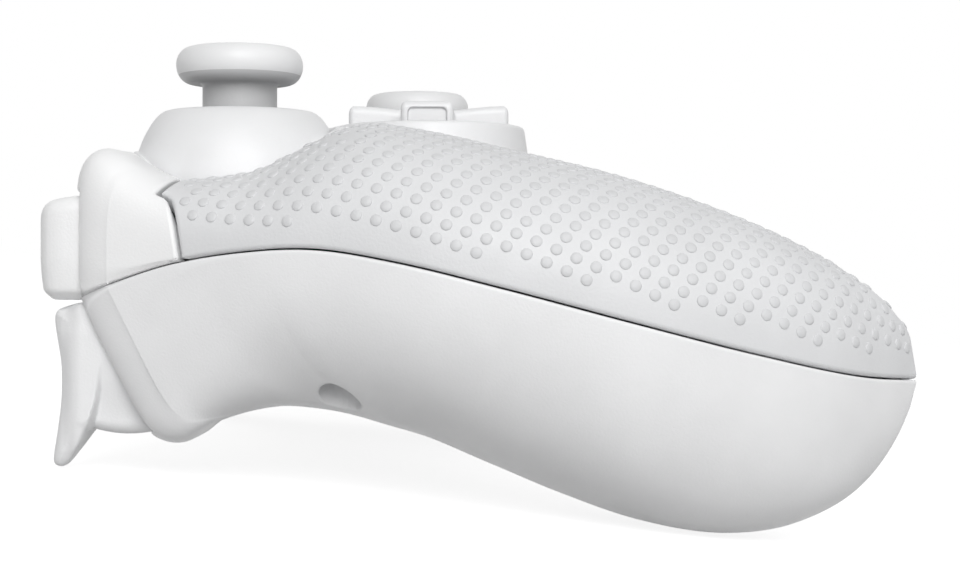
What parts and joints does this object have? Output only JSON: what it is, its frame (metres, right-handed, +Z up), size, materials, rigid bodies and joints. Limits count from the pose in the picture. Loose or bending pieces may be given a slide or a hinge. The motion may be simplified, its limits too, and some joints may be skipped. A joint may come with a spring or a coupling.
{
  "type": "gamepad controller",
  "caption": "Wireless gamepad with offset thumbsticks in raised domes, direction pad on a round plinth, dotted grip panels, bumpers and hinged triggers.",
  "frame": {"origin": "centre of the footprint, on the surface that the grips and trigger tips rest on", "axes": "+X to the player's right, +Y away from the player, +Z up as it lies on a table"},
  "size_m": [0.1524, 0.1128, 0.0598],
  "materials": {
    "shell_white": "satin",
    "panel_grey": "satin, raised dots",
    "trigger_white": "satin",
    "stick_white": "soft matte",
    "button_white": "satin",
    "gimbal_plastic": "moulded",
    "circuit_board": "solder mask",
    "membrane_rubber": "silicone",
    "battery_wrap": "shrink wrap",
    "socket_plastic": "moulded",
    "light_lens": "frosted",
    "weight_brass": "machined",
    "steel": "brushed"
  },
  "bodies": {
    "root": {"bottom_shell": "shell_white", "face_shell": "shell_white", "left_grip_panel": "panel_grey", "right_grip_panel": "panel_grey", "shoulder_housing": "shell_white", "main_board": "circuit_board", "dpad_board": "circuit_board", "group_board": "circuit_board", "battery": "battery_wrap", "usb_port": "steel", "headset_jack": "socket_plastic", "left_rumble_motor": "steel", "right_rumble_motor": "steel", "left_stick_housing": "steel", "right_stick_housing": "steel", "dpad_membrane": "membrane_rubber", "group_membrane": "membrane_rubber", "status_light": "light_lens", "left_trigger_pin": "steel", "right_trigger_pin": "steel", "left_trigger_spring": "steel", "right_trigger_spring": "steel", "shell_screws": "steel", "board_screws": "steel"},
    "left_rumble_weight": {"left_rumble_weight": "weight_brass"},
    "right_rumble_weight": {"right_rumble_weight": "weight_brass"},
    "left_stick_yoke": {"left_stick_yoke": "gimbal_plastic"},
    "left_stick_cross_yoke": {"left_stick_cross_yoke": "gimbal_plastic"},
    "left_stick_post": {"left_stick_post": "steel"},
    "left_stick_cap": {"left_stick_cap": "stick_white"},
    "right_stick_yoke": {"right_stick_yoke": "gimbal_plastic"},
    "right_stick_cross_yoke": {"right_stick_cross_yoke": "gimbal_plastic"},
    "right_stick_post": {"right_stick_post": "steel"},
    "right_stick_cap": {"right_stick_cap": "stick_white"},
    "dpad": {"dpad": "button_white"},
    "dpad_ring": {"dpad_ring": "steel"},
    "button_south": {"button_south": "button_white"},
    "button_east": {"button_east": "button_white"},
    "button_west": {"button_west": "button_white"},
    "button_north": {"button_north": "button_white"},
    "home_button": {"home_button": "button_white"},
    "select_button": {"select_button": "button_white"},
    "start_button": {"start_button": "button_white"},
    "capture_button": {"capture_button": "button_white"},
    "left_bumper": {"left_bumper": "trigger_white"},
    "right_bumper": {"right_bumper": "trigger_white"},
    "left_trigger": {"left_trigger": "trigger_white"},
    "right_trigger": {"right_trigger": "trigger_white"}
  },
  "joints": [
    {"name": "left_stick_forward", "type": "hinge", "parent": "root", "child": "left_stick_yoke", "pos_m": [-0.041, 0.0334, 0.03838], "axis": [1, 0, 0], "range_deg": [-15, 15], "stiffness_Nm_per_rad": 0.03},
    {"name": "left_stick_sideways", "type": "hinge", "parent": "left_stick_yoke", "child": "left_stick_post", "pos_m": [-0.041, 0.0334, 0.03838], "axis": [0, 0.9951, -0.0987], "range_deg": [-15, 15], "stiffness_Nm_per_rad": 0.03},
    {"name": "left_stick_cross", "type": "hinge", "parent": "root", "child": "left_stick_cross_yoke", "pos_m": [-0.041, 0.0334, 0.03838], "axis": [0, 0.9951, -0.0987], "range_deg": [-16, 16]},
    {"name": "left_stick_press", "type": "slide", "parent": "left_stick_post", "child": "left_stick_cap", "axis": [0, -0.0987, -0.9951], "range_m": [0, 0.0005], "stiffness_N_per_m": 3000, "springref_m": -0.0003},
    {"name": "right_stick_forward", "type": "hinge", "parent": "root", "child": "right_stick_yoke", "pos_m": [0.0205, 0.01161, 0.04054], "axis": [1, 0, 0], "range_deg": [-15, 15], "stiffness_Nm_per_rad": 0.03},
    {"name": "right_stick_sideways", "type": "hinge", "parent": "right_stick_yoke", "child": "right_stick_post", "pos_m": [0.0205, 0.01161, 0.04054], "axis": [0, 0.9951, -0.0987], "range_deg": [-15, 15], "stiffness_Nm_per_rad": 0.03},
    {"name": "right_stick_cross", "type": "hinge", "parent": "root", "child": "right_stick_cross_yoke", "pos_m": [0.0205, 0.01161, 0.04054], "axis": [0, 0.9951, -0.0987], "range_deg": [-16, 16]},
    {"name": "right_stick_press", "type": "slide", "parent": "right_stick_post", "child": "right_stick_cap", "axis": [0, -0.0987, -0.9951], "range_m": [0, 0.0005], "stiffness_N_per_m": 3000, "springref_m": -0.0003},
    {"name": "dpad_forward", "type": "hinge", "parent": "root", "child": "dpad_ring", "pos_m": [-0.0205, 0.0089, 0.04463], "axis": [1, 0, 0], "range_deg": [-4, 4], "stiffness_Nm_per_rad": 0.08},
    {"name": "dpad_sideways", "type": "hinge", "parent": "dpad_ring", "child": "dpad", "pos_m": [-0.0205, 0.0089, 0.04463], "axis": [0, 0.9951, -0.0987], "range_deg": [-4, 4], "stiffness_Nm_per_rad": 0.08},
    {"name": "press_south", "type": "slide", "parent": "root", "child": "button_south", "axis": [0, -0.0987, -0.9951], "range_m": [0, 0.0012], "stiffness_N_per_m": 500, "springref_m": -0.0004},
    {"name": "press_east", "type": "slide", "parent": "root", "child": "button_east", "axis": [0, -0.0987, -0.9951], "range_m": [0, 0.0012], "stiffness_N_per_m": 500, "springref_m": -0.0004},
    {"name": "press_west", "type": "slide", "parent": "root", "child": "button_west", "axis": [0, -0.0987, -0.9951], "range_m": [0, 0.0012], "stiffness_N_per_m": 500, "springref_m": -0.0004},
    {"name": "press_north", "type": "slide", "parent": "root", "child": "button_north", "axis": [0, -0.0987, -0.9951], "range_m": [0, 0.0012], "stiffness_N_per_m": 500, "springref_m": -0.0004},
    {"name": "press_home", "type": "slide", "parent": "root", "child": "home_button", "axis": [0, -0.0987, -0.9951], "range_m": [0, 0.0006], "stiffness_N_per_m": 900, "springref_m": -0.0003},
    {"name": "press_select", "type": "slide", "parent": "root", "child": "select_button", "axis": [0, -0.0987, -0.9951], "range_m": [0, 0.0006], "stiffness_N_per_m": 900, "springref_m": -0.0003},
    {"name": "press_start", "type": "slide", "parent": "root", "child": "start_button", "axis": [0, -0.0987, -0.9951], "range_m": [0, 0.0006], "stiffness_N_per_m": 900, "springref_m": -0.0003},
    {"name": "press_capture", "type": "slide", "parent": "root", "child": "capture_button", "axis": [0, -0.0987, -0.9951], "range_m": [0, 0.0006], "stiffness_N_per_m": 900, "springref_m": -0.0003},
    {"name": "left_bumper_press", "type": "hinge", "parent": "root", "child": "left_bumper", "pos_m": [-0.02, 0.0421, 0.03289], "axis": [0, 0.0987, 0.9951], "range_deg": [0, 2], "stiffness_Nm_per_rad": 0.5, "springref_deg": -0.57},
    {"name": "left_trigger_pull", "type": "hinge", "parent": "root", "child": "left_trigger", "pos_m": [-0.046, 0.04377, 0.02027], "axis": [-1, 0, 0], "range_deg": [0, 17], "stiffness_Nm_per_rad": 0.06, "springref_deg": -8.59},
    {"name": "left_rumble_spin", "type": "hinge", "parent": "root", "child": "left_rumble_weight", "pos_m": [-0.057, -0.02694, 0.02165], "axis": [1, 0, 0], "continuous": true},
    {"name": "right_bumper_press", "type": "hinge", "parent": "root", "child": "right_bumper", "pos_m": [0.02, 0.0421, 0.03289], "axis": [0, -0.0987, -0.9951], "range_deg": [0, 2], "stiffness_Nm_per_rad": 0.5, "springref_deg": -0.57},
    {"name": "right_trigger_pull", "type": "hinge", "parent": "root", "child": "right_trigger", "pos_m": [0.046, 0.04377, 0.02027], "axis": [-1, 0, 0], "range_deg": [0, 17], "stiffness_Nm_per_rad": 0.06, "springref_deg": -8.59},
    {"name": "right_rumble_spin", "type": "hinge", "parent": "root", "child": "right_rumble_weight", "pos_m": [0.057, -0.02694, 0.02165], "axis": [1, 0, 0], "continuous": true}
  ],
  "couplings": [
    {"joint": "left_stick_cross", "follows": "left_stick_sideways", "ratio": 1},
    {"joint": "right_stick_cross", "follows": "right_stick_sideways", "ratio": 1}
  ]
}
